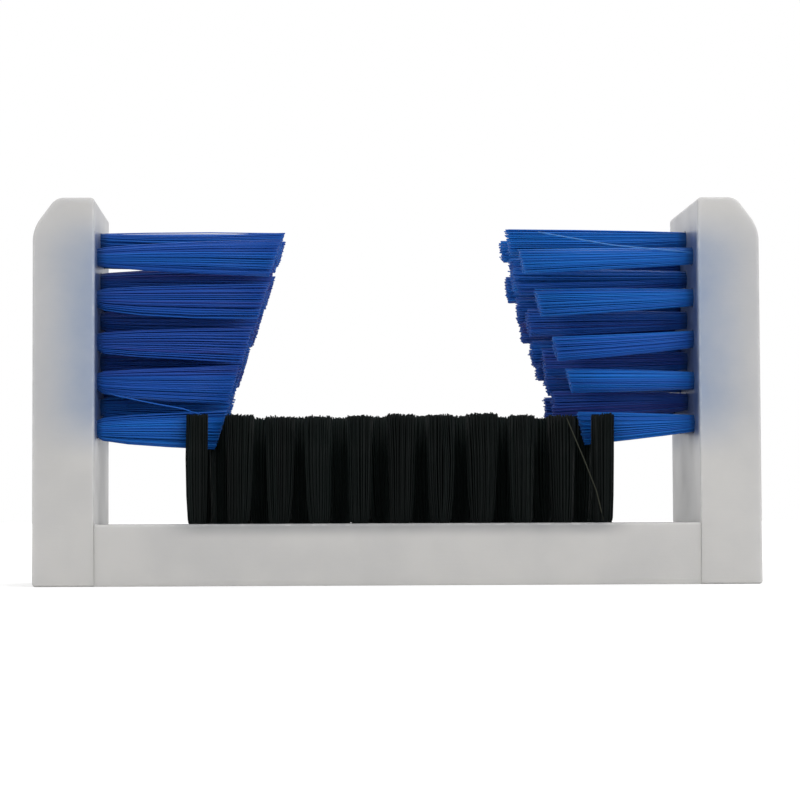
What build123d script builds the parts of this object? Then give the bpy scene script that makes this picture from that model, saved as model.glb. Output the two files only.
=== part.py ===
"""Club groove brush: a U of three plastic boards that carries three sets of bristles.

Two upright arms and a base are sawn from sheet and screwed together at the bottom
corners. Blue bristles point inwards from both arms, with their tips trimmed on a
slant, and black bristles stand on the base. A golf club's head is pulled through
the space between them.

Millimetres: +X to the right, +Y to the back, +Z up, with the origin at the centre
of the bottom face. Each tuft is a bundle of filaments folded over a short flat
anchor wire and driven with it into a blind hole. A tuft's filaments are drawn as
six locks, which are fused to the slice of board that holds their row.
"""

from build123d import *
import math
import os

# ------------------------------------------------------------- boards
overall_width = 150.0
overall_height = 80.0
board_depth = 38.0
arm_thickness = 12.7
base_thickness = 12.7
edge_break = 0.4

# The arms' outer top corners are cut at an angle and blended at both ends of the cut.
# The inner ones are only eased.
outer_corner_in = 4.8
outer_corner_down = 6.4
outer_top_blend = 3.3
outer_side_blend = 8.0
inner_corner_radius = 0.9

# ------------------------------------------------------------- screws
screw_diameter = 4.2
screw_head_diameter = 7.6
screw_head_height = 2.8
screw_head_sink = 0.5
screw_spacing = 20.0
screw_tip_wall = 1.1
recess_span = 4.4
recess_width = 1.1
recess_depth = 1.8

# ------------------------------------------------------------- tufts
tuft_diameter = 3.8
hole_depth = 8.5
hole_sides = 6
colour_gap = 0.5
edge_wall = 1.9
slice_thickness = 1.6
slice_margin = 1.0

anchor_thickness = 0.4
anchor_height = 1.8
fold_thickness = 1.0

lock_gap = 0.16
lock_root_depth = 0.8
fan = 1.7
tuft_lean = 0.3
tip_unevenness = 0.5

# Blue rows run up the arms. Every second row starts higher, by the stagger.
blue_pitch = 8.7
blue_start_height = 33.7
blue_stagger = 4.6
blue_top_margin = 6.5
blue_reach = 38.8
blue_trim_angle = 16.8

# Black rows run along the base. Every second row sits between the first's tufts.
black_pitch = 8.4
black_end_clear = 20.2
black_shift = 0.6
colour_tip_gap = 0.1

# ------------------------------------------------------------- derived sizes
inner_x = overall_width / 2 - arm_thickness
tuft_radius = tuft_diameter / 2
anchor_length = tuft_diameter * math.cos(math.pi / hole_sides)

# Black and blue rows take turns from front to back, so that no bristles cross.
plane_spacing = tuft_diameter + colour_gap
row_spacing = 2 * plane_spacing
row_count = int((board_depth - 2 * edge_wall - tuft_diameter + plane_spacing) / row_spacing)
first_black_y = -(2 * row_count - 1) * plane_spacing / 2
first_blue_y = first_black_y + plane_spacing

# A tuft's locks stand in three columns of two, inside the hole's circle.
middle_column = 0.27 * tuft_radius
outer_column = 0.82 * tuft_radius
middle_column_reach = math.sqrt(tuft_radius**2 - middle_column**2)
outer_column_reach = math.sqrt(tuft_radius**2 - outer_column**2)
tip_half_width = outer_column * fan + tuft_lean

blue_trim_slope = math.tan(math.radians(blue_trim_angle))
blue_top = overall_height - blue_top_margin
black_tip_height = blue_start_height + blue_stagger - tip_half_width - colour_tip_gap
black_length = black_tip_height - base_thickness

screw_shank_radius = screw_diameter / 2
screw_head_radius = screw_head_diameter / 2
screw_reach = arm_thickness + black_end_clear - abs(black_shift) - tuft_radius - screw_tip_wall

os.makedirs("parts", exist_ok=True)


# ------------------------------------------------------------- screws
def screw_axes(side):
    """Planes on an arm's outer face, each with z pointing inwards along a screw."""
    x = side * overall_width / 2
    z = base_thickness / 2
    return [
        Plane(origin=(x, y, z), x_dir=(0, 1, 0), z_dir=(-side, 0, 0))
        for y in (-screw_spacing / 2, screw_spacing / 2)
    ]


def screw_body():
    """A cylindrical head and a plain shank, along the screw's own axis."""
    head = Pos(0, 0, screw_head_sink + screw_head_height / 2)
    head = head * Cylinder(screw_head_radius, screw_head_height)
    shank = Pos(0, 0, (screw_head_sink + screw_reach) / 2)
    shank = shank * Cylinder(screw_shank_radius, screw_reach - screw_head_sink)
    return head + shank


def screw():
    """A screw with the cross recess for its driver."""
    along = Box(recess_span, recess_width, recess_depth)
    across = Box(recess_width, recess_span, recess_depth)
    recess = Pos(0, 0, screw_head_sink + recess_depth / 2) * (along + across)
    return screw_body() - recess


def screw_hole():
    """The space that a screw fills, open through the arm's outer face."""
    mouth = Pos(0, 0, screw_head_sink / 2) * Cylinder(screw_head_radius, screw_head_sink)
    return screw_body() + mouth


def screw_holes(side):
    return [axis * screw_hole() for axis in screw_axes(side)]


# ------------------------------------------------------------- rows of tufts
def row_bounds(places):
    """The first and last point of the slice that holds a row, along the row."""
    return places[0] - tuft_radius - slice_margin, places[-1] + tuft_radius + slice_margin


def slice_box(places):
    """A strip of board under one row, with its top in the board's face."""
    low, high = row_bounds(places)
    width = 2 * (tuft_radius + slice_margin)
    return Pos((low + high) / 2, 0, -slice_thickness / 2) * Box(high - low, width, slice_thickness)


def folded_bundle(place):
    """The part of a tuft that fills its blind hole below the slice."""
    outline = RegularPolygon(tuft_radius, hole_sides, rotation=90 - 180 / hole_sides)
    outline = Pos(place, 0, -hole_depth) * outline
    return extrude(outline, hole_depth - slice_thickness)


def anchor_wire(place):
    """The flat wire that lies across a tuft's fold, wedged from wall to wall of its hole."""
    middle = -hole_depth + fold_thickness + anchor_height / 2
    return Pos(place, 0, middle) * Box(anchor_thickness, anchor_length, anchor_height)


def trimmed(root, tip, trim):
    """The point where a lock's edge, from root on through tip, meets the trim line."""
    start, slope = trim
    run = tip[0] - root[0]
    rise = tip[1] - root[1]
    share = (start + slope * root[0] - root[1]) / (rise - slope * run)
    return (root[0] + share * run, root[1] + share * rise)


def lock(place, lean, column, half, trim):
    """One lock of filaments: it widens along the row from its root to its trimmed tip."""
    if column == 0:
        edges = (-middle_column, middle_column)
        reach = middle_column_reach
    else:
        edges = (column * (middle_column + lock_gap), column * outer_column)
        reach = outer_column_reach
    start, slope = trim
    length = start + slope * place
    roots = [(place + edge, -lock_root_depth) for edge in edges]
    spread = [(place + lean + fan * edge, length) for edge in edges]
    tips = [trimmed(root, tip, trim) for root, tip in zip(roots, spread)]
    outline = Plane.XZ * make_face(Polyline(*roots, *reversed(tips), close=True))
    body = extrude(outline, reach - lock_gap / 2)
    return Pos(0, reach if half > 0 else -lock_gap / 2, 0) * body


def tuft_locks(place, number, start, slope):
    """The six locks of one tuft, with slightly uneven tips and a slight lean."""
    lean = tuft_lean * ((number * 3) % 5 - 2) / 2
    locks = []
    for column in (-1, 0, 1):
        for half in (-1, 1):
            step = (5 * number + 3 * column + 2 * half) % 7
            trim = (start - tip_unevenness * step / 6, slope)
            locks.append(lock(place, lean, column, half, trim))
    return locks


def tuft_row(places, start, slope):
    """A row as one solid: its slice of board, folded bundles and locks."""
    bundles = [folded_bundle(place) for place in places]
    anchors = [anchor_wire(place) for place in places]
    locks = []
    for number, place in enumerate(places):
        locks += tuft_locks(place, number, start, slope)
    return (slice_box(places) + bundles - anchors) + locks


def row_pocket(places):
    """What a row takes out of its board: the slice and the blind holes."""
    return [slice_box(places)] + [folded_bundle(place) for place in places]


# ------------------------------------------------------------- where the rows are
def arm_rows(side):
    """Blue rows of one arm: each row's plane on the inner face and tuft heights."""
    rows = []
    for row in range(row_count):
        y = first_blue_y + row * row_spacing
        plane = Plane(origin=(side * inner_x, y, 0), x_dir=(0, 0, 1), z_dir=(-side, 0, 0))
        start = blue_start_height + (row % 2) * blue_stagger
        count = int((blue_top - start) / blue_pitch) + 1
        rows.append((plane, [start + number * blue_pitch for number in range(count)]))
    return rows


def base_rows():
    """Black rows: each row's plane on the base's top face and the tufts' places."""
    longest = int((2 * inner_x - 2 * black_end_clear) / black_pitch) + 1
    rows = []
    for row in range(row_count):
        y = first_black_y + row * row_spacing
        plane = Plane(origin=(black_shift, y, base_thickness), x_dir=(1, 0, 0), z_dir=(0, 0, 1))
        count = longest - row % 2
        rows.append((plane, [(number - (count - 1) / 2) * black_pitch for number in range(count)]))
    return rows


def row_cuts(rows):
    return [plane * shape for plane, places in rows for shape in row_pocket(places)]


def row_anchors(rows):
    return Compound(children=[plane * anchor_wire(place) for plane, places in rows for place in places])


# ------------------------------------------------------------- boards
def arm_board(side):
    """An upright board: square at its foot, with both top corners eased."""
    outer_x = overall_width / 2
    outline = FilletPolyline(
        (side * inner_x, 0),
        (side * outer_x, 0),
        (side * outer_x, overall_height - outer_corner_down),
        (side * (outer_x - outer_corner_in), overall_height),
        (side * inner_x, overall_height),
        radius=[0, 0, outer_side_blend, outer_top_blend, inner_corner_radius],
        close=True,
    )
    board = extrude(Plane.XZ * make_face(outline), board_depth / 2, both=True)
    faces = board.faces().sort_by(Axis.Y)
    board = chamfer(faces[0].edges() + faces[-1].edges(), edge_break)
    return board - (screw_holes(side) + row_cuts(arm_rows(side)))


def base_board():
    """The board between the arms, with its four long edges broken."""
    board = Pos(0, 0, base_thickness / 2) * Box(2 * inner_x, board_depth, base_thickness)
    board = chamfer(board.edges().filter_by(Axis.X), edge_break)
    return board - (screw_holes(-1) + screw_holes(1) + row_cuts(base_rows()))


# ------------------------------------------------------------- write the pieces
def write(shape, name):
    export_step(shape, f"parts/{name}.step")


blue_trim_start = blue_reach - blue_top * blue_trim_slope

for name, side in (("left", -1), ("right", 1)):
    write(arm_board(side), f"{name}_arm_board")
    write(Compound(children=[axis * screw() for axis in screw_axes(side)]), f"{name}_screws")
    write(row_anchors(arm_rows(side)), f"{name}_anchors")
    for number, (plane, places) in enumerate(arm_rows(side), start=1):
        write(plane * tuft_row(places, blue_trim_start, blue_trim_slope), f"{name}_blue_row_{number}")

write(base_board(), "base_board")
write(row_anchors(base_rows()), "base_anchors")
for number, (plane, places) in enumerate(base_rows(), start=1):
    write(plane * tuft_row(places, black_length, 0), f"black_row_{number}")
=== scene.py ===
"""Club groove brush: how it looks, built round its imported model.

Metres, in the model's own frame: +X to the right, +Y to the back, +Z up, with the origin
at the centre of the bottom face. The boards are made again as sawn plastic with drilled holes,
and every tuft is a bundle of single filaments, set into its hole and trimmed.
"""

import math

import bmesh
import bpy
import numpy as np
from mathutils import Matrix, Vector


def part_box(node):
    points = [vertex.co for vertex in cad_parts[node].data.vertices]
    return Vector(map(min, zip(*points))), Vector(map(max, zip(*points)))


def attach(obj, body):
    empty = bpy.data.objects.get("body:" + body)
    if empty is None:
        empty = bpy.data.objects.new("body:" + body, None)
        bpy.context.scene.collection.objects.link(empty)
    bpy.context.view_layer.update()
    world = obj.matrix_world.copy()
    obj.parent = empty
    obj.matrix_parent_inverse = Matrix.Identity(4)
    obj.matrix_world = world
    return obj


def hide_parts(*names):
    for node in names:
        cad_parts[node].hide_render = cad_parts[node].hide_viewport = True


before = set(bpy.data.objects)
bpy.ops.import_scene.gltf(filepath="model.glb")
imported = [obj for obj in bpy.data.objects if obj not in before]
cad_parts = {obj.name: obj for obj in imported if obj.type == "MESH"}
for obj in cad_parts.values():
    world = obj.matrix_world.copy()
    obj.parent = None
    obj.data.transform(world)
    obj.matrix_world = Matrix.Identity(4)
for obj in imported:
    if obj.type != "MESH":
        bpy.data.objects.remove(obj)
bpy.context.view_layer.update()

MM = 0.001
SIDES = {"left": -1, "right": 1}
SIDE_NAMES = {side: name for name, side in SIDES.items()}

# ------------------------------------------------------------- sizes from the frame
_, base_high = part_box("base_board")
arm_low, arm_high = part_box("right_arm_board")
INNER_X = arm_low.x
OUTER_X = arm_high.x
ARM_TOP = arm_high.z
BASE_TOP = base_high.z
HALF_DEPTH = arm_high.y

# ------------------------------------------------------------- sizes of the boards
EDGE_BREAK = 0.45 * MM
EDGE_STEPS = 5
JOINT_BREAK = 0.003 * MM
JOINT_NEAR = 0.1 * MM
OUTER_CORNER = (4.8 * MM, 6.4 * MM)
OUTER_TOP_BLEND = 3.3 * MM
OUTER_SIDE_BLEND = 8.0 * MM
INNER_TOP_BLEND = 0.9 * MM
FOOT_BLEND = 0.7 * MM
ARC_STEPS = 10

# Shading breaks at edges sharper than SHARP_ANGLE. Two edges of an outline are in line when
# the sine between them is below STRAIGHT. A face looks along an axis when the normal's share
# along it is above FACING.
SHARP_ANGLE = math.radians(35)
STRAIGHT = 0.01
FACING = 0.9

HOLE_RADIUS = 1.9 * MM
HOLE_DEPTH = 8.5 * MM
HOLE_RIM = 0.18 * MM
HOLE_SIDES = 28
CUT_OVER = 1.0 * MM

# ------------------------------------------------------------- sizes of the screws
SCREW_ROWS = (-1, 1)
SCREW_Y = 10.0 * MM
SCREW_RADIUS = 2.1 * MM
SCREW_POINT = 3 * MM
SCREW_POINT_RADIUS = 0.2 * MM
SCREW_HEAD_RADIUS = 3.8 * MM
SCREW_HEAD_SINK = 0.5 * MM
SCREW_HEAD_HEIGHT = 2.8 * MM
SCREW_CLEARANCE = 0.04 * MM
SCREW_SIDES = 48

# A screw's turn in degrees: the step is taken off in front and added at the back.
SCREW_TURN = 20
SCREW_TURN_STEP = 25

# A domed head's (share of its radius, drop in millimetres), from its middle out.
SCREW_DOME = ((0.10, 0.00), (0.45, 0.03), (0.70, 0.11), (0.86, 0.25), (0.96, 0.50), (1.00, 0.85))

# The slots of a cross recess: (depth, share of their size) at each level.
RECESS_SPAN = 4.4 * MM
RECESS_WIDTH = 1.1 * MM
RECESS_DEPTH = 1.8 * MM
RECESS_LEVELS = (
    (SCREW_HEAD_SINK - CUT_OVER, 1.0),
    (SCREW_HEAD_SINK + 0.1 * MM, 1.0),
    (SCREW_HEAD_SINK + RECESS_DEPTH, 0.55),
)
SQUARE = ((-1, -1), (1, -1), (1, 1), (-1, 1))

# ------------------------------------------------------------- sizes of the tufts
ROWS = 4
LOCKS = 6

FILAMENT_RADIUS = 0.130 * MM
FILAMENT_SPACING = 0.285 * MM
FILAMENT_JITTER = 0.012 * MM
FILAMENT_SIDES = 6
HOLE_GAP = 0.03 * MM
FOLD_DEPTH = 5.6 * MM

# A filament's rings, as shares of its length. Its foot, FOLD_DEPTH down in the hole, comes before
# them.
RING_SHARES = (0.0, 0.045, 0.26, 0.6, 1.0)
FOOT_SHARE = -0.3

BLUE_PITCH = 8.7 * MM
BLUE_START = 33.7 * MM
BLUE_STAGGER = 4.6 * MM
BLUE_COUNT = 5
BLUE_TOP = 73.5 * MM
BLUE_REACH = 38.8 * MM
BLUE_SLOPE = math.tan(math.radians(16.8))
BLUE_SEEDS = {-1: 100, 1: 300}

# The right brush's front row has a trim line of its own: how far it reaches at a height.
RIGHT_FRONT_HEIGHT = 69.0 * MM
RIGHT_FRONT_REACH = 36.3 * MM
RIGHT_FRONT_SLOPE = 0.387

BLACK_PITCH = 8.4 * MM
BLACK_SHIFT = 0.6 * MM
BLACK_COUNT = 11
BLACK_LENGTH = 22.55 * MM
BLACK_OFF = (0.0, 0.6 * MM, 0.3 * MM, -0.6 * MM)
BLACK_SEED = 900


# ------------------------------------------------------------- mesh helpers
def link(mesh, name, *materials):
    """A piece made from a mesh, with its materials."""
    piece = bpy.data.objects.new(name, mesh)
    bpy.context.scene.collection.objects.link(piece)
    for material in materials:
        mesh.materials.append(material)
    return piece


def rounded(corners, radii):
    """The points of an outline whose corners are rounded to the radii given, 0 for a sharp one."""
    points = []
    for number, (corner, radius) in enumerate(zip(corners, radii)):
        corner = Vector(corner)
        if radius == 0:
            points.append(corner)
            continue
        before = (Vector(corners[number - 1]) - corner).normalized()
        after = (Vector(corners[(number + 1) % len(corners)]) - corner).normalized()
        half = before.angle(after) / 2
        centre = corner + (before + after).normalized() * (radius / math.sin(half))
        start = corner + before * (radius / math.tan(half)) - centre
        turn = start.angle_signed(corner + after * (radius / math.tan(half)) - centre)
        for step in range(ARC_STEPS + 1):
            points.append(centre + Matrix.Rotation(-turn * step / ARC_STEPS, 2) @ start)
    return points


def lathe(bm, profile, place, axis, sides):
    """Adds a turned solid: its profile is (radius, distance along the axis) from end to end."""
    turn = axis.to_track_quat("Z", "Y").to_matrix()
    rings = []
    for radius, height in profile:
        angles = [2 * math.pi * side / sides for side in range(sides)]
        ring = [Vector((radius * math.cos(a), radius * math.sin(a), height)) for a in angles]
        rings.append([bm.verts.new(place + turn @ point) for point in ring])
    for lower, upper in zip(rings, rings[1:]):
        for side in range(sides):
            after = (side + 1) % sides
            bm.faces.new((lower[side], lower[after], upper[after], upper[side]))
    bm.faces.new(list(reversed(rings[0])))
    bm.faces.new(rings[-1])


def mesh_from(bm, name):
    """A mesh from a bmesh, with its faces turned outwards."""
    bmesh.ops.recalc_face_normals(bm, faces=bm.faces)
    mesh = bpy.data.meshes.new(name)
    bm.to_mesh(mesh)
    bm.free()
    return mesh


def cut(mesh, cutter_mesh):
    """The first mesh with the second one taken out of it."""
    body = bpy.data.objects.new("body", mesh)
    cutter = bpy.data.objects.new("cutter", cutter_mesh)
    for thing in (body, cutter):
        bpy.context.scene.collection.objects.link(thing)
    boolean = body.modifiers.new("cut", "BOOLEAN")
    boolean.operation = "DIFFERENCE"
    boolean.solver = "EXACT"
    boolean.object = cutter
    bpy.context.view_layer.update()
    depsgraph = bpy.context.evaluated_depsgraph_get()
    result = bpy.data.meshes.new_from_object(body.evaluated_get(depsgraph))
    for thing in (body, cutter):
        bpy.data.objects.remove(thing)
    return result


def smooth(mesh):
    """Shades a mesh smooth, apart from its sharp edges."""
    for polygon in mesh.polygons:
        polygon.use_smooth = True
    mesh.set_sharp_from_angle(angle=SHARP_ANGLE)


# ------------------------------------------------------------- material helpers
class Nodes:
    """A material's node tree, with short calls for the nodes used here."""

    def __init__(self, name):
        self.material = bpy.data.materials.new(name)
        self.material.use_nodes = True
        self.tree = self.material.node_tree
        self.shader = self.tree.nodes["Principled BSDF"]

    def add(self, kind, **values):
        node = self.tree.nodes.new("ShaderNode" + kind)
        for key, value in values.items():
            setattr(node, key, value)
        return node

    def feed(self, socket, value):
        """Links another node's output to a socket, or sets the socket to a constant."""
        if isinstance(value, bpy.types.NodeSocket):
            self.tree.links.new(value, socket)
        else:
            socket.default_value = value

    def place(self, scale=(1, 1, 1)):
        """The point on the piece, in metres, stretched by a scale along each axis."""
        coordinates = self.add("TexCoord")
        mapping = self.add("Mapping")
        mapping.inputs["Scale"].default_value = scale
        self.feed(mapping.inputs["Vector"], coordinates.outputs["Object"])
        return mapping.outputs["Vector"]

    def noise(self, where, scale, detail=3.0, roughness=0.5):
        node = self.add("TexNoise")
        self.feed(node.inputs["Vector"], where)
        node.inputs["Scale"].default_value = scale
        node.inputs["Detail"].default_value = detail
        node.inputs["Roughness"].default_value = roughness
        return node.outputs["Fac"]

    def math(self, operation, a, b=0.0):
        node = self.add("Math", operation=operation)
        self.feed(node.inputs[0], a)
        self.feed(node.inputs[1], b)
        return node.outputs[0]

    def times(self, *values):
        """All the values multiplied together."""
        product = values[0]
        for value in values[1:]:
            product = self.math("MULTIPLY", product, value)
        return product

    def span(self, value, low, high, start=0.0, end=1.0):
        """A value that goes smoothly from start to end as another goes from low to high."""
        node = self.add("MapRange", interpolation_type="SMOOTHSTEP")
        self.feed(node.inputs["Value"], value)
        node.inputs["From Min"].default_value = low
        node.inputs["From Max"].default_value = high
        node.inputs["To Min"].default_value = start
        node.inputs["To Max"].default_value = end
        return node.outputs["Result"]

    def mix(self, share, a, b):
        """Colour a, with a share of it replaced by colour b."""
        node = self.add("Mix", data_type="RGBA")
        self.feed(node.inputs["Factor"], share)
        self.feed(node.inputs["A"], a)
        self.feed(node.inputs["B"], b)
        return node.outputs["Result"]

    def bump(self, height, distance, strength, normal=None):
        """The normal of a bumpy surface, on top of another normal if one is given."""
        node = self.add("Bump")
        node.inputs["Strength"].default_value = strength
        node.inputs["Distance"].default_value = distance
        self.feed(node.inputs["Height"], height)
        if normal is not None:
            self.feed(node.inputs["Normal"], normal)
        return node.outputs["Normal"]

    def attribute(self, name):
        node = self.add("Attribute", attribute_type="GEOMETRY", attribute_name=name)
        return node.outputs["Fac"]

    def finish(self, **values):
        """The material, with its shader's sockets fed. A socket's spaces are written as _."""
        for key, value in values.items():
            self.feed(self.shader.inputs[key.replace("_", " ")], value)
        return self.material


# ------------------------------------------------------------- plastic
PLASTIC = (0.545, 0.536, 0.522, 1.0)
PLASTIC_DULL = (0.500, 0.494, 0.486, 1.0)
PLASTIC_WORN = (0.640, 0.635, 0.625, 1.0)
PLASTIC_SHADED = (0.410, 0.415, 0.430, 1.0)
PLASTIC_BLUE = (0.215, 0.285, 0.420, 1.0)
# Painted shade and painted reflection of the blue bristles, between the tufts.
PAINTED_TUFT_SHADE = (0.032, 0.066, 0.180, 1.0)
# The black filaments showing through, with painted shade under the black bristles.
PLASTIC_BLACK_AND_SHADE = (0.200, 0.206, 0.216, 1.0)
PLASTIC_IOR = 1.53

# How much of each tint there is where it is strongest.
WORN_SHARE = 0.25
SHADED_SHARE = 0.62
BLUE_SHARE = 0.84
PAINTED_TUFT_SHADE_SHARE = 0.95
BLACK_AND_SHADE_SHARE = 0.75


def tinted(nodes, where, colour):
    """The plastic's colour with the tints that the bristles give it.

    The filaments in their holes show faintly through the milky plastic beside them. On the
    arms' inner faces the blue ones give a painted shade and a painted reflection between the
    tufts, least towards the faces' edges.
    """
    split = nodes.add("SeparateXYZ")
    nodes.feed(split.inputs[0], where)
    across = nodes.math("ABSOLUTE", split.outputs["X"])
    depth = nodes.math("ABSOLUTE", split.outputs["Y"])
    height = split.outputs["Z"]

    patchy = nodes.span(nodes.noise(where, 160.0), 0.2, 0.8, start=0.75, end=1.0)
    arms = nodes.span(across, INNER_X - 1.5 * MM, INNER_X - 0.5 * MM)
    near = nodes.span(across, INNER_X + 13 * MM, INNER_X - 1 * MM)
    field = nodes.times(
        nodes.span(height, BLUE_START - 9 * MM, BLUE_START + 5 * MM),
        nodes.span(height, BLUE_TOP + 5 * MM, BLUE_TOP - 7 * MM),
        patchy,
    )
    # Darker along the base's top edge, where the black bristles stand: the filaments showing
    # through, and painted shade under the bristles.
    black_show_and_shade = nodes.times(
        nodes.span(height, BASE_TOP - 3.2 * MM, BASE_TOP),
        nodes.span(height, BASE_TOP + 1.0 * MM, BASE_TOP + 0.5 * MM),
        nodes.span(across, 50 * MM, 40 * MM),
    )
    # Painted shade and painted reflection of the blue bristles on the arms' inner faces, between
    # the tufts, fading towards the faces' edges.
    tuft_shade_and_reflection = nodes.times(
        nodes.span(across, INNER_X + 0.35 * MM, INNER_X + 0.05 * MM),
        nodes.span(depth, HALF_DEPTH - 0.3 * MM, HALF_DEPTH - 3.5 * MM),
        nodes.span(height, BLUE_START - 6 * MM, BLUE_START - 1 * MM),
        nodes.span(height, BLUE_TOP + 4 * MM, BLUE_TOP - 3 * MM),
        arms,
        patchy,
    )
    # A darker grey across the arms at the blue bristles' heights: the filaments showing through,
    # and painted shade.
    colour = nodes.mix(nodes.times(field, arms, SHADED_SHARE), colour, PLASTIC_SHADED)
    colour = nodes.mix(nodes.times(field, near, arms, BLUE_SHARE), colour, PLASTIC_BLUE)
    colour = nodes.mix(nodes.times(black_show_and_shade, patchy, BLACK_AND_SHADE_SHARE), colour, PLASTIC_BLACK_AND_SHADE)
    return nodes.mix(nodes.times(tuft_shade_and_reflection, PAINTED_TUFT_SHADE_SHARE), colour, PAINTED_TUFT_SHADE)


def sawn_surface(nodes, where):
    """The normal and roughness of a sawn face: dull, with the saw's fine marks."""
    marks = nodes.noise(nodes.place((1.0, 1.0, 14.0)), 150.0, detail=6.0, roughness=0.7)
    fine = nodes.noise(where, 2400.0, detail=2.0)
    normal = nodes.bump(marks, 0.06 * MM, 0.30)
    normal = nodes.bump(fine, 0.02 * MM, 0.4, normal)
    return normal, nodes.span(marks, 0.3, 0.7, start=0.46, end=0.60)


def skin_surface(nodes, where):
    """The normal and roughness of the sheet's own face: smoother, a little wavy and pitted."""
    wave = nodes.noise(where, 90.0, detail=2.0)
    pits = nodes.noise(where, 1500.0, detail=3.0)
    normal = nodes.bump(wave, 0.20 * MM, 0.20)
    normal = nodes.bump(pits, 0.01 * MM, 0.15, normal)
    return normal, nodes.span(wave, 0.3, 0.7, start=0.28, end=0.36)


def plastic(name, surface):
    """Milky sheet plastic, a little cloudy. Its broken edges are scuffed pale in places."""
    nodes = Nodes(name)
    where = nodes.place()
    cloud = nodes.noise(where, 70.0, detail=4.0)
    colour = nodes.mix(nodes.span(cloud, 0.3, 0.7), PLASTIC_DULL, PLASTIC)
    colour = tinted(nodes, where, colour)
    normal, rough = surface(nodes, where)
    scuffs = nodes.span(nodes.noise(where, 420.0, detail=5.0), 0.46, 0.66)
    worn = nodes.times(nodes.attribute("edge"), scuffs, WORN_SHARE)
    return nodes.finish(
        Base_Color=nodes.mix(worn, colour, PLASTIC_WORN),
        Roughness=rough,
        Normal=normal,
        IOR=PLASTIC_IOR,
        Specular_IOR_Level=0.4,
        Subsurface_Weight=0.5,
        Subsurface_Radius=(1.0, 1.0, 1.1),
        Subsurface_Scale=3.0 * MM,
    )


# ------------------------------------------------------------- bristles and metal
# A blue filament's colour goes with its tone from dark violet, a painted shade colour, through mid
# blue to light blue.
BLUE_LIGHT = (0.006, 0.165, 0.600, 1.0)
BLUE_MID = (0.008, 0.085, 0.420, 1.0)
BLUE_SHADE_VIOLET = (0.026, 0.038, 0.250, 1.0)
BLUE_ROOT_SHADE = (0.004, 0.030, 0.110, 1.0)
BLUE_PALE = (0.040, 0.180, 0.500, 1.0)
BLUE_IOR = 1.53

BLACK_DEEP = (0.0016, 0.0032, 0.0030, 1.0)
BLACK_LIT = (0.0040, 0.0082, 0.0074, 1.0)
BLACK_PALE = (0.034, 0.036, 0.026, 1.0)
BLACK_IOR = 1.5

# A tuft's tones go from 0 to 1. In this range above them, a filament turns pale.
CLEAR_TONES = (1.2, 1.8)


def nylon(nodes, colour, grain, rough, specular, ior):
    """Filaments of a colour, with fine streaks along them."""
    streak = nodes.noise(nodes.place(grain), 900.0, detail=2.0)
    return nodes.finish(
        Base_Color=colour,
        Roughness=nodes.span(streak, 0.3, 0.7, *rough),
        Normal=nodes.bump(streak, 0.02 * MM, 0.3),
        IOR=ior,
        Specular_IOR_Level=specular,
    )


def blue_nylon():
    """Blue filaments: each has its own tone, partly painted light and shade, and painted shade at
    its root.
    """
    nodes = Nodes("blue_nylon")
    tone = nodes.attribute("tone")
    # Painted shade at the roots, where the filaments crowd into the board.
    root = nodes.span(nodes.attribute("along"), 0.06, 0.0, end=0.7)
    colour = nodes.mix(nodes.span(tone, 0.0, 0.5), BLUE_SHADE_VIOLET, BLUE_MID)
    colour = nodes.mix(nodes.span(tone, 0.45, 1.0), colour, BLUE_LIGHT)
    colour = nodes.mix(root, colour, BLUE_ROOT_SHADE)
    colour = nodes.mix(nodes.span(tone, *CLEAR_TONES), colour, BLUE_PALE)
    return nylon(nodes, colour, (0.25, 1.0, 1.0), (0.36, 0.50), specular=0.22, ior=BLUE_IOR)


def black_nylon():
    """Black filaments, a little green, painted lighter the higher their tone: painted light on the
    rows behind the front one.
    """
    nodes = Nodes("black_nylon")
    tone = nodes.attribute("tone")
    colour = nodes.mix(nodes.span(tone, 0.2, 1.0), BLACK_DEEP, BLACK_LIT)
    colour = nodes.mix(nodes.span(tone, *CLEAR_TONES), colour, BLACK_PALE)
    return nylon(nodes, colour, (1.0, 1.0, 0.25), (0.40, 0.55), specular=0.11, ior=BLACK_IOR)


def metal(name, colour, dull, low, high):
    """Drawn or plated metal, with a dull bloom in patches and a roughness from low to high."""
    nodes = Nodes(name)
    where = nodes.place()
    bloom = nodes.noise(where, 700.0, detail=5.0, roughness=0.6)
    return nodes.finish(
        Base_Color=nodes.mix(nodes.span(bloom, 0.4, 0.7), colour, dull),
        Roughness=nodes.span(bloom, 0.35, 0.7, low, high),
        Normal=nodes.bump(nodes.noise(where, 3000.0), 0.01 * MM, 0.4),
        Metallic=1.0,
    )


# ------------------------------------------------------------- boards
def arm_outline(side):
    """An arm's outline, seen from the front: a square foot, and both top corners eased."""
    corners = [
        (side * INNER_X, 0.0),
        (side * OUTER_X, 0.0),
        (side * OUTER_X, ARM_TOP - OUTER_CORNER[1]),
        (side * (OUTER_X - OUTER_CORNER[0]), ARM_TOP),
        (side * INNER_X, ARM_TOP),
        (side * INNER_X, BASE_TOP + EDGE_BREAK),
        (side * INNER_X, BASE_TOP - EDGE_BREAK),
    ]
    radii = (0, FOOT_BLEND, OUTER_SIDE_BLEND, OUTER_TOP_BLEND, INNER_TOP_BLEND, 0, 0)
    return rounded(corners, radii)


def base_outline():
    """The base's outline, seen from the front. Its ends are sharp, against the arms."""
    corners = [(-INNER_X, 0.0), (INNER_X, 0.0), (INNER_X, BASE_TOP), (-INNER_X, BASE_TOP)]
    return [Vector(corner) for corner in corners]


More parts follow.
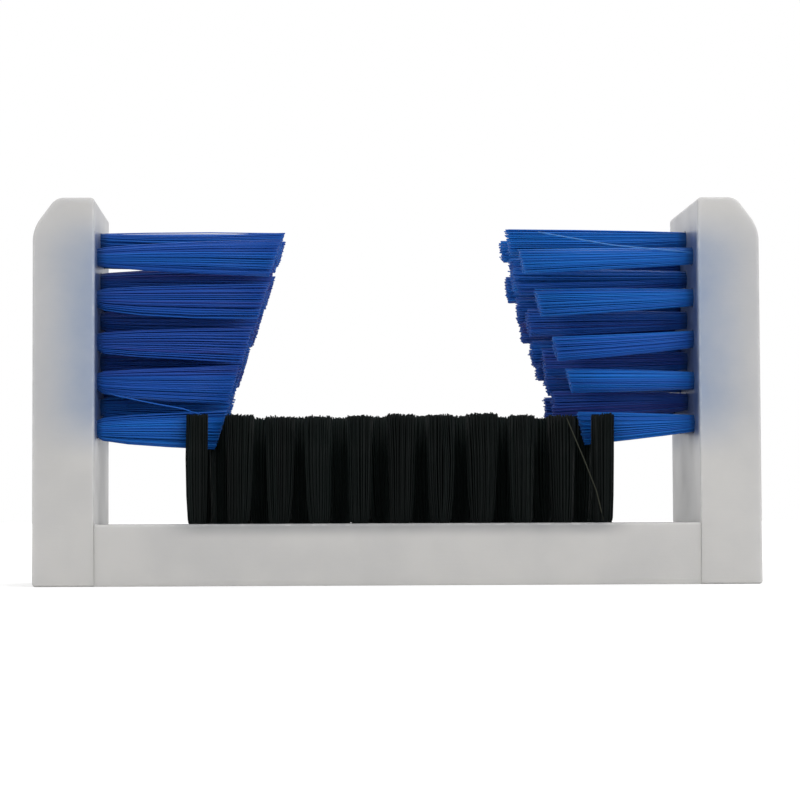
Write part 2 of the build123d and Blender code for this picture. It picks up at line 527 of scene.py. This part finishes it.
def edge_insets(outline):
    """How far each point of an outline moves in when the rim there is rounded off.

    The rims where an arm and the base meet are only just broken, so that the joint is a hairline.
    """
    count = len(outline)
    twice_area = sum(outline[n - 1].cross(outline[n]) for n in range(count))
    turn = Matrix.Rotation(math.copysign(math.pi / 2, twice_area), 2)
    normals, widths = [], []
    for start, end in zip(outline, outline[1:] + outline[:1]):
        normals.append(turn @ (end - start).normalized())
        joint = max(abs(abs(start.x) - INNER_X), abs(abs(end.x) - INNER_X)) < JOINT_NEAR
        low = (start.y + end.y) / 2 < BASE_TOP - EDGE_BREAK / 2
        widths.append(JOINT_BREAK if joint and low else EDGE_BREAK)
    insets = []
    for number in range(count):
        first, second = normals[number - 1], normals[number]
        before, after = widths[number - 1], widths[number]
        if abs(first.cross(second)) < STRAIGHT:
            insets.append(second * (before + after) / 2)
        else:
            insets.append(Matrix((first, second)).inverted() @ Vector((before, after)))
    return insets


def board(name, outline, cutters, sheet_axis):
    """A board: its outline drawn out to the depth, its rims rounded off and its holes drilled.

    The faces that look along the sheet's axis are the sheet's own. The others are sawn.
    """
    insets = edge_insets(outline)
    bm = bmesh.new()
    edge = bm.faces.layers.float.new("edge")
    rings = []
    for end in (-1, 1):
        for step in range(EDGE_STEPS + 1):
            angle = math.pi / 2 * (EDGE_STEPS - step if end < 0 else step) / EDGE_STEPS
            depth = end * (HALF_DEPTH - EDGE_BREAK * (1 - math.sin(angle)))
            share = 1 - math.cos(angle)
            points = [point + inset * share for point, inset in zip(outline, insets)]
            rings.append([bm.verts.new((point.x, depth, point.y)) for point in points])
    for level, (near, far) in enumerate(zip(rings, rings[1:])):
        for number in range(len(outline)):
            face = bm.faces.new((near[number - 1], near[number], far[number], far[number - 1]))
            face[edge] = 0.0 if level == EDGE_STEPS else 1.0
    bm.faces.new(rings[0])
    bm.faces.new(rings[-1])

    cutter = bmesh.new()
    cutter.faces.layers.float.new("edge")
    for profile, place, axis in cutters:
        lathe(cutter, profile, place, axis, HOLE_SIDES)
    mesh = cut(mesh_from(bm, name), mesh_from(cutter, name + "_cutter"))
    smooth(mesh)
    for polygon in mesh.polygons:
        polygon.material_index = 0 if abs(polygon.normal[sheet_axis]) > FACING else 1
    piece = link(mesh, name, SKIN, SAWN)
    piece.modifiers.new("normals", "WEIGHTED_NORMAL").keep_sharp = True
    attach(piece, "root")
    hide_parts(name.replace("sawn_", "") + "_board")


def tuft_cutter(place, inwards):
    """A drilled blind hole with a softened rim: the axis points into the board."""
    profile = (
        (HOLE_RADIUS + HOLE_RIM, -CUT_OVER),
        (HOLE_RADIUS + HOLE_RIM, 0.0),
        (HOLE_RADIUS, HOLE_RIM),
        (HOLE_RADIUS, HOLE_DEPTH),
    )
    return profile, place, inwards


# ------------------------------------------------------------- screws
def screw_axis(side, row):
    """Where a screw goes in on its arm's outer face, and its direction."""
    return Vector((side * OUTER_X, row * SCREW_Y, BASE_TOP / 2)), Vector((-side, 0, 0))


def screw_reach(side):
    """How far the screws reach in from their arm's outer face."""
    low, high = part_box(SIDE_NAMES[side] + "_screws")
    return OUTER_X - min(abs(low.x), abs(high.x))


def screw_cutter(side, row):
    """A counterbored hole for a screw, from the arm's outer face into the base."""
    head = SCREW_HEAD_RADIUS + SCREW_CLEARANCE
    shank = SCREW_RADIUS + SCREW_CLEARANCE
    seat = SCREW_HEAD_SINK + SCREW_HEAD_HEIGHT + SCREW_CLEARANCE
    reach = screw_reach(side) + SCREW_CLEARANCE
    profile = ((head, -CUT_OVER), (head, seat), (shank, seat), (shank, reach))
    place, axis = screw_axis(side, row)
    return profile, place, axis


def add_slot(bm, place, turn, upright):
    """Adds what one slot of a cross recess takes out of a head. It is smaller at its bottom."""
    levels = []
    for depth, share in RECESS_LEVELS:
        long, wide = RECESS_SPAN / 2 * share, RECESS_WIDTH / 2 * (0.5 + 0.5 * share)
        across, up = (wide, long) if upright else (long, wide)
        corners = [Vector((across * a, up * b, depth)) for a, b in SQUARE]
        levels.append([bm.verts.new(place + turn @ corner) for corner in corners])
    for near, far in zip(levels, levels[1:]):
        for k in range(len(SQUARE)):
            bm.faces.new((near[k - 1], near[k], far[k], far[k - 1]))
    bm.faces.new(levels[0])
    bm.faces.new(levels[-1])


def screw_pair(side):
    """One arm's two screws, with domed heads and a cross recess for the driver."""
    name = SIDE_NAMES[side]
    reach = screw_reach(side)
    sink = SCREW_HEAD_SINK
    seat = sink + SCREW_HEAD_HEIGHT
    profile = [(SCREW_HEAD_RADIUS * share, sink + drop * MM) for share, drop in SCREW_DOME]
    profile += [(SCREW_HEAD_RADIUS, seat), (SCREW_RADIUS, seat)]
    profile += [(SCREW_RADIUS, reach - SCREW_POINT), (SCREW_POINT_RADIUS, reach)]
    bm = bmesh.new()
    upright, level = bmesh.new(), bmesh.new()
    for row in SCREW_ROWS:
        place, axis = screw_axis(side, row)
        lathe(bm, profile, place, axis, SCREW_SIDES)
        spin = Matrix.Rotation(math.radians(SCREW_TURN + SCREW_TURN_STEP * row), 3, "Z")
        turn = axis.to_track_quat("Z", "Y").to_matrix() @ spin
        add_slot(upright, place, turn, upright=True)
        add_slot(level, place, turn, upright=False)
    mesh = mesh_from(bm, name + "_screw_pair")
    for slot in (upright, level):
        mesh = cut(mesh, mesh_from(slot, "recess"))
    smooth(mesh)
    piece = link(mesh, name + "_screw_pair", STEEL)
    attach(piece, "root")
    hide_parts(name + "_screws")


# ------------------------------------------------------------- where the tufts are
# How far some tufts were drilled off their places, in millimetres up the arm, by
# (side, row, number from the lowest up).
DRILLED_OFF = {
    (-1, 0, 0): -1.1, (-1, 1, 0): -0.8, (-1, 3, 0): -0.9, (-1, 2, 1): -0.8,
    (-1, 0, 2): -0.5, (-1, 2, 2): -0.4, (-1, 1, 3): -0.3, (-1, 3, 3): -0.6,
    (-1, 1, 4): -0.5, (-1, 2, 4): 1.2, (-1, 3, 4): -0.5,
    (1, 0, 0): -0.3, (1, 1, 4): -0.3, (1, 3, 4): -0.3,
}


def row_depth(node):
    """Where a row lies from front to back."""
    low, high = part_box(node)
    return (low.y + high.y) / 2


def blue_places(side, row):
    """The heights of one blue row's tufts. Every second row starts higher."""
    start = BLUE_START + (row % 2) * BLUE_STAGGER
    return [start + number * BLUE_PITCH + DRILLED_OFF.get((side, row, number), 0.0) * MM
            for number in range(BLUE_COUNT)]


def black_places(row):
    """The tufts' places along one black row. Every second row has one tuft less.

    The rows were drilled a little off to each other, which hides the light between them.
    """
    count = BLACK_COUNT - row % 2
    middle = BLACK_SHIFT + BLACK_OFF[row]
    return [middle + (number - (count - 1) / 2) * BLACK_PITCH for number in range(count)]


# ------------------------------------------------------------- how the tufts stand
# How much locks and single filaments vary, as shares of what a tuft's look says, and in tone.
LOCK_LEAN_SHARE = 0.3
LOCK_ACROSS_SHARE = 0.7
LOCK_UNEVEN_SHARE = 0.6
OWN_CURL_SHARE = 0.3
TONE_VARIES = 0.08

# Each blue tuft's (spread, lean in millimetres, tone), from the lowest up. The tables that
# end in BEHIND hold for every second row, and the others for the rows in front of those.
# The tones are painted light and shade: most tufts in the rows behind are darker.
LEFT_FRONT = (
    (2.3, -0.1, 0.66), (2.3, -0.9, 0.44), (2.3, -1.0, 0.42), (2.1, -0.6, 0.42), (2.3, -0.1, 0.52),
)
LEFT_BEHIND = (
    (2.2, -1.2, 0.60), (2.1, -0.6, 0.27), (2.1, -0.6, 0.27), (2.2, -0.5, 0.30), (1.7, -0.8, 0.54),
)
RIGHT_FRONT = (
    (2.05, -1.1, 0.70), (1.35, -0.1, 0.69), (1.45, -2.0, 0.59), (1.65, -1.3, 0.59),
    (1.50, -1.1, 0.78),
)
RIGHT_BEHIND = (
    (1.9, -1.1, 0.34), (1.6, -0.5, 0.32), (1.6, -0.5, 0.32), (1.6, -0.5, 0.54), (1.5, -0.5, 0.80),
)
BLUE_TUFTS = {-1: (LEFT_FRONT, LEFT_BEHIND), 1: (RIGHT_FRONT, RIGHT_BEHIND)}

# The third rows differ: the left one in its top tuft's (spread, lean), the right one in a
# painted shade that darkens its tones.
THIRD_ROW = 2
LEFT_THIRD_TOP = (1.6, 0.5)
RIGHT_THIRD_SHADE = 0.75

# How many millimetres the tufts fall short of the trim line, from the lowest up.
LEFT_SHORT = (0.7, 0.9, 0.5, 0.0, 0.1)
RIGHT_SHORT = (-0.4, 0.4, -0.3, -0.7, 0.7)
RIGHT_FRONT_SHORT = (-1.3, 0.0, 0.0, 0.0, 0.0)

BLUE_FLAT = 1.45
BLUE_LOWEST_FLAT = 1.15
LEFT_FLARE = 0.42
LEFT_TOP_FLARE = 0.65
LEFT_LOOK = dict(locks=0.22, curl=0.16, uneven=0.08)
RIGHT_LOOK = dict(flare=0.75, locks=0.25, curl=0.12, uneven=0.22, own_trim=0.35)
RIGHT_FRONT_LOOK = dict(flare=0.85, locks=0.10, curl=0.07, uneven=0.10, own_trim=0.6)

# Black tufts vary: (lowest, highest) spread and tone, (mean, deviation) of how short they
# are, and the deviation of their lean.
BLACK_LOOK = dict(flat=1.2, flare=0.32, locks=0.20, curl=0.14, stray=0.12, uneven=0.16)
BLACK_SPREAD = (1.55, 1.85)
BLACK_END_SPREAD = 1.3
BLACK_LEAN = 0.35
BLACK_END_LEAN = 0.1
BLACK_SHORT = (0.35, 0.2)
# The rows behind the front one get higher tones, painted light against their shade; the front row
# lower ones.
BLACK_PAINTED_LIGHT_TONE = (0.80, 0.95)
BLACK_FRONT_TONE = (0.25, 0.55)


class Look:
    """How a tuft stands: how far it spreads, leans, curls and varies, and how it is trimmed.

    It spreads along the row, and across it by the number called flat. The flare is 1 for a
    straight spread and less for one that opens near the board. The tuft's own trim is 1
    where its tips follow the row's slant and 0 where they are square. The lean, the locks'
    offsets, the curl, the unevenness, the shortness and the strays are in millimetres.
    """

    def __init__(self, spread, flat, lean, flare, locks, curl, uneven, short, tone,
                 stray=0.08, own_trim=1.0):
        self.spread = spread
        self.flat = flat
        self.lean = lean * MM
        self.flare = flare
        self.locks = locks * MM
        self.curl = curl * MM
        self.uneven = uneven * MM
        self.short = short * MM
        self.tone = tone
        self.stray = stray * MM
        self.own_trim = own_trim


def blue_look(side, row, number, height):
    """The left brush spreads more, into one mass. The right one's front row droops and is short."""
    spread, lean, tone = BLUE_TUFTS[side][row % 2][number]
    flat = BLUE_LOWEST_FLAT if number == 0 else BLUE_FLAT
    top = BLUE_COUNT - 1
    if side < 0:
        if (row, number) == (THIRD_ROW, top):
            spread, lean = LEFT_THIRD_TOP
        short = np.interp((height - BLUE_START) / BLUE_PITCH, range(BLUE_COUNT), LEFT_SHORT)
        flare = LEFT_TOP_FLARE if number == top - row % 2 else LEFT_FLARE
        return Look(spread, flat, lean, flare=flare, short=short, tone=tone, **LEFT_LOOK)
    if row == 0:
        short = RIGHT_FRONT_SHORT[number]
        return Look(spread, flat, lean, short=short, tone=tone, **RIGHT_FRONT_LOOK)
    # Painted shade: the right brush's third row, inside the brush, is darker.
    if row == THIRD_ROW:
        tone = RIGHT_THIRD_SHADE * tone
    return Look(spread, flat, lean, short=RIGHT_SHORT[number], tone=tone, **RIGHT_LOOK)


def black_look(rng, row, last):
    """A black tuft spreads and leans less at an end of its row. Its tone paints light and shade:
    the front row darker, the rows behind it lighter against their shade.
    """
    spread = BLACK_END_SPREAD if last else rng.uniform(*BLACK_SPREAD)
    lean = rng.normal(0, BLACK_END_LEAN if last else BLACK_LEAN)
    short = rng.normal(*BLACK_SHORT)
    tone = rng.uniform(*(BLACK_FRONT_TONE if row == 0 else BLACK_PAINTED_LIGHT_TONE))
    return Look(spread, lean=lean, short=short, tone=tone, **BLACK_LOOK)


# ------------------------------------------------------------- filaments
ANGLES = np.arange(FILAMENT_SIDES) * 2 * math.pi / FILAMENT_SIDES
CIRCLE = np.stack([np.cos(ANGLES), np.sin(ANGLES)], axis=-1)
SECTION = FILAMENT_RADIUS * CIRCLE

# A filament's square cell in the bake map: its sides' corner and size, and its ends' discs.
CELL_CORNER = (0.06, 0.05)
CELL_SIZE = (0.88, 0.66)
DISC_RADIUS = 0.1
FOOT_DISC = (0.25, 0.86)
HEAD_DISC = (0.75, 0.86)


def packing(rng):
    """Where the filaments of a bundle stand in their round hole."""
    reach = HOLE_RADIUS - FILAMENT_RADIUS - HOLE_GAP
    steps = int(reach / FILAMENT_SPACING) + 2
    grid = np.arange(-steps, steps + 1)
    across, up = np.meshgrid(grid, grid)
    points = np.stack([across + 0.5 * (up % 2), up * math.sqrt(0.75)], axis=-1).reshape(-1, 2)
    points = points * FILAMENT_SPACING + rng.uniform(-0.5, 0.5, 2) * FILAMENT_SPACING
    turn = rng.uniform(0, math.pi)
    spin = np.array([[math.cos(turn), -math.sin(turn)], [math.sin(turn), math.cos(turn)]])
    points = points @ spin + rng.normal(0, FILAMENT_JITTER, points.shape)
    return points[np.hypot(*points.T) < reach]


def tuft(rng, look, place, reach, slope):
    """One tuft: its filaments' roots, tips, bends, lengths, flares and tones.

    Offsets are (along the row, across it) from the middle of the hole.
    """
    roots = packing(rng)
    count = len(roots)
    centres = rng.uniform(-1, 1, (LOCKS, 2)) * HOLE_RADIUS
    lock = np.argmin(((roots[:, None] - centres[None]) ** 2).sum(-1), axis=1)
    tips = roots * (look.spread, look.flat)
    tips = tips + rng.normal(0, look.locks, (LOCKS, 2))[lock] * (1.0, LOCK_ACROSS_SHARE)
    tips = tips + rng.normal(0, look.stray, (count, 2))
    tips[:, 0] += look.lean + rng.normal(0, look.locks * LOCK_LEAN_SHARE)
    bends = rng.normal(0, look.curl, (LOCKS, 2))[lock]
    bends = bends + rng.normal(0, look.curl * OWN_CURL_SHARE, (count, 2))
    lengths = reach + slope * (place + look.own_trim * tips[:, 0]) - look.short
    lengths = lengths + rng.normal(0, look.uneven * LOCK_UNEVEN_SHARE, LOCKS)[lock]
    lengths = lengths + rng.normal(0, look.uneven, count)
    tones = look.tone + rng.normal(0, TONE_VARIES, LOCKS)[lock]
    tones = tones + rng.normal(0, TONE_VARIES, count)
    return roots, tips, bends, lengths, np.full(count, look.flare), np.clip(tones, 0, 1)


def row_filaments(tufts, places, slope):
    """A row's filaments: (filament, ring, side, along/across/out) for their points, and tones."""
    place = np.concatenate([np.full(len(t[0]), p) for t, p in zip(tufts, places)])
    roots, tips, bends, lengths, flares, tones = (np.concatenate(parts) for parts in zip(*tufts))
    foot = np.full((len(roots), FILAMENT_SIDES), -FOLD_DEPTH)
    rings = [np.dstack([roots[:, None] + SECTION, foot])]
    for share in RING_SHARES:
        middle = roots + (tips - roots) * (share**flares)[:, None]
        middle = middle + bends * math.sin(math.pi * share)
        out = np.repeat(lengths[:, None] * share, FILAMENT_SIDES, axis=1)
        if share == 1.0:
            out = out + slope * SECTION[None, :, 0]
        rings.append(np.dstack([middle[:, None] + SECTION, out]))
    points = np.stack(rings, axis=1)
    points[..., 0] += place[:, None, None]
    return points, tones


# One filament has sprung out of a tuft in the front row of each arm and of the base. From tip
# to root, it goes through these points, (along the row, in front of it, out) in millimetres.
BLUE_STRAYS = {
    -1: ((34.9, 1.5, 23.0), (36.6, 2.6, 18.0), (37.9, 2.6, 11.0), (39.4, 2.2, 4.0),
         (41.0, 1.2, 0.0)),
    1: ((73.4, 2.2, 32.5), (72.9, 2.6, 30.0), (70.6, 2.6, 17.0), (69.6, 2.2, 6.0),
        (69.2, 1.2, 0.0)),
}
BLUE_STRAY_TONES = {-1: 0.6, 1: 2.0}
BLACK_STRAY = ((35.0, 1.9, 21.6), (38.3, 2.7, 13.4), (41.0, 2.3, 6.5), (42.2, 1.7, 1.7),
               (42.6, 1.5, 0.0))
BLACK_STRAY_TONE = 2.0


def with_stray(filaments, stray, tone):
    """A row's filaments and a sprung one, which has its foot down in the hole of its tuft."""
    points, tones = filaments
    section = np.pad(SECTION, ((0, 0), (0, 1)))
    along, front, _ = stray[-1]
    path = [(along, front, -FOLD_DEPTH / MM), *reversed(stray)]
    rings = [section + np.array([along, -front, out]) * MM for along, front, out in path]
    return np.concatenate([points, np.stack(rings)[None]]), np.append(tones, tone)


def filament_mesh(name, points, tones):
    """A mesh of closed tubes, with each filament's tone and its own cell of the bake map."""
    count, rings, sides, _ = points.shape
    first = np.arange(count)[:, None] * rings * sides
    ring = np.arange(rings - 1)[:, None] * sides
    above = ring + sides
    side = np.arange(sides)
    after = (side + 1) % sides
    quads = np.stack([ring + side, ring + after, above + after, above + side], axis=-1)
    quads = (first[:, :, None] + quads.reshape(1, -1, 4)).reshape(-1, 4)
    foot = (first + side[::-1]).reshape(-1, sides)
    head = (first + (rings - 1) * sides + side).reshape(-1, sides)
    caps = np.concatenate([foot, head])
    loops = np.concatenate([quads.ravel(), caps.ravel()])
    sizes = np.concatenate([np.full(len(quads), 4), np.full(len(caps), sides)])

    mesh = bpy.data.meshes.new(name)
    mesh.vertices.add(count * rings * sides)
    mesh.vertices.foreach_set("co", points.reshape(-1).astype(np.float32))
    mesh.loops.add(len(loops))
    mesh.loops.foreach_set("vertex_index", loops.astype(np.int32))
    mesh.polygons.add(len(sizes))
    mesh.polygons.foreach_set("loop_start", (np.cumsum(sizes) - sizes).astype(np.int32))
    tubes = np.concatenate([np.ones(len(quads), bool), np.zeros(len(caps), bool)])
    mesh.polygons.foreach_set("use_smooth", tubes)
    mesh.update(calc_edges=True)

    tone = np.repeat(tones, rings * sides)
    along = np.tile(np.repeat(np.array((FOOT_SHARE,) + RING_SHARES), sides), count)
    for label, values in (("tone", tone), ("along", along)):
        layer = mesh.attributes.new(label, "FLOAT", "POINT")
        layer.data.foreach_set("value", values.astype(np.float32))
    bake_map(mesh, count, rings, sides)
    mesh.validate()
    return mesh


def bake_map(mesh, count, rings, sides):
    """Lays the map out in square cells, one a filament: sides below, both ends above."""
    cells = math.ceil(math.sqrt(count))
    cell = np.stack([np.arange(count) % cells, np.arange(count) // cells], axis=-1)
    left = np.arange(sides)
    up = np.arange(rings - 1)[:, None]
    corners = []
    for right, top in ((0, 0), (1, 0), (1, 1), (0, 1)):
        u = np.broadcast_to((left + right) / sides, (rings - 1, sides))
        v = np.broadcast_to((up + top) / (rings - 1), (rings - 1, sides))
        corners.append(np.stack([u, v], axis=-1) * CELL_SIZE + CELL_CORNER)
    quads = np.stack(corners, axis=2).reshape(1, -1, 2)
    disc = DISC_RADIUS * CIRCLE
    foot = disc[::-1] + FOOT_DISC
    head = disc + HEAD_DISC
    parts = [(cell[:, None] + part).reshape(-1, 2) for part in (quads, foot[None], head[None])]
    layer = mesh.uv_layers.new(name="OFBake")
    layer.uv.foreach_set("vector", (np.concatenate(parts) / cells).reshape(-1).astype(np.float32))


# ------------------------------------------------------------- rows
def bristle_row(node, material, filaments, turn, move):
    """The piece that stands for one packed row: all its filaments, set in their holes and trimmed.
    """
    points, tones = filaments
    placed = points @ turn.T + move
    if np.linalg.det(turn) < 0:
        placed = placed[:, :, ::-1]
    piece = link(filament_mesh(node + "_filaments", placed, tones), node + "_filaments", material)
    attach(piece, "root")
    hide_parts(node)


def blue_row(side, row):
    """One row of an arm. It runs up the arm and points inwards."""
    node = f"{SIDE_NAMES[side]}_blue_row_{row + 1}"
    rng = np.random.default_rng(BLUE_SEEDS[side] + row)
    places = blue_places(side, row)
    reach, height, slope = BLUE_REACH, BLUE_TOP, BLUE_SLOPE
    if side > 0 and row == 0:
        reach, height, slope = RIGHT_FRONT_REACH, RIGHT_FRONT_HEIGHT, RIGHT_FRONT_SLOPE
    start = reach - height * slope
    tufts = [
        tuft(rng, blue_look(side, row, number, place), place, start, slope)
        for number, place in enumerate(places)
    ]
    filaments = row_filaments(tufts, places, slope)
    if row == 0:
        filaments = with_stray(filaments, BLUE_STRAYS[side], BLUE_STRAY_TONES[side])
    turn = np.array([[0, 0, -side], [0, 1, 0], [1, 0, 0]], float)
    move = np.array([side * INNER_X, row_depth(node), 0.0])
    bristle_row(node, BLUE, filaments, turn, move)


def black_row(row):
    """One row of the base. It runs along the base and points up."""
    node = f"black_row_{row + 1}"
    rng = np.random.default_rng(BLACK_SEED + row)
    places = black_places(row)
    tufts = []
    for number, place in enumerate(places):
        look = black_look(rng, row, last=number in (0, len(places) - 1))
        tufts.append(tuft(rng, look, place, BLACK_LENGTH, 0.0))
    filaments = row_filaments(tufts, places, 0.0)
    if row == 0:
        filaments = with_stray(filaments, BLACK_STRAY, BLACK_STRAY_TONE)
    move = np.array([0.0, row_depth(node), BASE_TOP])
    bristle_row(node, BLACK, filaments, np.eye(3), move)


# ------------------------------------------------------------- the brush
STEEL = metal("plated_steel", (0.56, 0.55, 0.52, 1.0), (0.34, 0.33, 0.31, 1.0), 0.24, 0.42)
WIRE = metal("anchor_wire", (0.50, 0.47, 0.40, 1.0), (0.30, 0.28, 0.24, 1.0), 0.30, 0.50)
SKIN = plastic("sheet_skin", skin_surface)
SAWN = plastic("sheet_sawn", sawn_surface)
BLUE = blue_nylon()
BLACK = black_nylon()

for name, side in SIDES.items():
    cutters = [screw_cutter(side, row) for row in SCREW_ROWS]
    for row in range(ROWS):
        depth = row_depth(f"{name}_blue_row_{row + 1}")
        for height in blue_places(side, row):
            place = Vector((side * INNER_X, depth, height))
            cutters.append(tuft_cutter(place, Vector((side, 0, 0))))
    board(f"sawn_{name}_arm", arm_outline(side), cutters, sheet_axis=0)
    screw_pair(side)
    for row in range(ROWS):
        blue_row(side, row)

cutters = [screw_cutter(side, row) for side in SIDES.values() for row in SCREW_ROWS]
for row in range(ROWS):
    depth = row_depth(f"black_row_{row + 1}")
    for along in black_places(row):
        cutters.append(tuft_cutter(Vector((along, depth, BASE_TOP)), Vector((0, 0, -1))))
board("sawn_base", base_outline(), cutters, sheet_axis=2)
for row in range(ROWS):
    black_row(row)

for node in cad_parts:
    if node.endswith("anchors"):
        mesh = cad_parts[node].data
        mesh.materials.clear()
        mesh.materials.append(WIRE)


# ------------------------------------------------------------- camera
CAMERA_PLACE = Vector((-20.0, -518.72, 14.0)) * MM
CAMERA_YAW = math.radians(1.419)
CAMERA_PITCH = math.radians(2.756)
CAMERA_ROLL = math.radians(-0.231)
CAMERA_LENS = 109.524
CAMERA_SENSOR = 36.0
CAMERA_SHIFT = 0.049
CAMERA_CLIP = 0.01


def camera():
    """A long lens at brush height, a little left of the middle, turned to the right."""
    data = bpy.data.cameras.new("camera")
    data.lens = CAMERA_LENS
    data.sensor_width = CAMERA_SENSOR
    data.shift_x = CAMERA_SHIFT
    data.clip_start = CAMERA_CLIP
    thing = bpy.data.objects.new("camera", data)
    bpy.context.scene.collection.objects.link(thing)
    turn = Matrix.Rotation(-CAMERA_YAW, 3, "Z")
    turn = turn @ Matrix.Rotation(math.pi / 2 + CAMERA_PITCH, 3, "X")
    turn = turn @ Matrix.Rotation(CAMERA_ROLL, 3, "Z")
    thing.matrix_world = Matrix.Translation(CAMERA_PLACE) @ turn.to_4x4()
    bpy.context.scene.camera = thing


# ------------------------------------------------------------- stage and light
WHITE = (1.0, 1.0, 1.0, 1.0)
WORLD_LIGHT = 0.74

# For the camera the floor gives off light of its own, from FLOOR_LIFT within FLOOR_NEAR
# metres of the middle up to 1 from FLOOR_FAR on.
FLOOR_HALF = 6.0
FLOOR_DROP = 0.02 * MM
FLOOR_ALBEDO = 0.80
FLOOR_LIFT = 0.35
FLOOR_NEAR = 0.15
FLOOR_FAR = 0.9

# The lamps: (place, power in watts). All have one size and one aim.
LAMP_SIZE = 0.6
LAMP_AIM = Vector((0, 0, 0.04))
LAMPS = {
    "key": ((0.6, -1.0, 0.36), 3.7),
    "fill": ((-0.8, -0.8, 0.25), 1.2),
    "top": ((0.1, -0.15, 1.0), 1.6),
    "back": ((0.1, 0.7, 1.0), 2.0),
}


def white_behind():
    """White where the camera or a reflection looks past the brush, soft grey light elsewhere."""
    world = bpy.data.worlds.new("studio")
    world.use_nodes = True
    tree = world.node_tree
    background = tree.nodes["Background"]
    background.inputs["Color"].default_value = WHITE
    rays = tree.nodes.new("ShaderNodeLightPath")
    seen = rays.outputs["Is Camera Ray"]
    for kind in ("Is Glossy Ray", "Is Transmission Ray"):
        either = tree.nodes.new("ShaderNodeMath")
        either.operation = "MAXIMUM"
        tree.links.new(seen, either.inputs[0])
        tree.links.new(rays.outputs[kind], either.inputs[1])
        seen = either.outputs[0]
    strength = tree.nodes.new("ShaderNodeMapRange")
    strength.inputs["To Min"].default_value = WORLD_LIGHT
    strength.inputs["To Max"].default_value = 1.0
    tree.links.new(seen, strength.inputs["Value"])
    tree.links.new(strength.outputs["Result"], background.inputs["Strength"])
    bpy.context.scene.world = world


def floor():
    """A plain pale floor, which keeps the brush's soft shadow."""
    bm = bmesh.new()
    bmesh.ops.create_grid(bm, x_segments=1, y_segments=1, size=FLOOR_HALF)
    mesh = bpy.data.meshes.new("floor")
    bm.to_mesh(mesh)
    bm.free()
    nodes = Nodes("floor")
    away = nodes.add("VectorMath", operation="LENGTH")
    nodes.feed(away.inputs[0], nodes.place())
    lift = nodes.span(away.outputs["Value"], FLOOR_NEAR, FLOOR_FAR, FLOOR_LIFT, 1.0)
    rays = nodes.add("LightPath")
    material = nodes.finish(
        Base_Color=(FLOOR_ALBEDO, FLOOR_ALBEDO, FLOOR_ALBEDO, 1.0),
        Roughness=0.9,
        Specular_IOR_Level=0.0,
        Emission_Color=WHITE,
        Emission_Strength=nodes.times(lift, rays.outputs["Is Camera Ray"]),
    )
    piece = link(mesh, "floor", material)
    piece.location.z = -FLOOR_DROP


def softbox(name, place, power):
    """A square lamp that faces the brush."""
    data = bpy.data.lights.new(name, "AREA")
    data.shape = "SQUARE"
    data.size = LAMP_SIZE
    data.energy = power
    lamp = bpy.data.objects.new(name, data)
    bpy.context.scene.collection.objects.link(lamp)
    lamp.location = place
    aim = LAMP_AIM - Vector(place)
    lamp.rotation_mode = "QUATERNION"
    lamp.rotation_quaternion = aim.to_track_quat("-Z", "Y")


camera()
white_behind()
floor()
for name, (place, power) in LAMPS.items():
    softbox(name, place, power)

view = bpy.context.scene.view_settings
view.view_transform = "Standard"
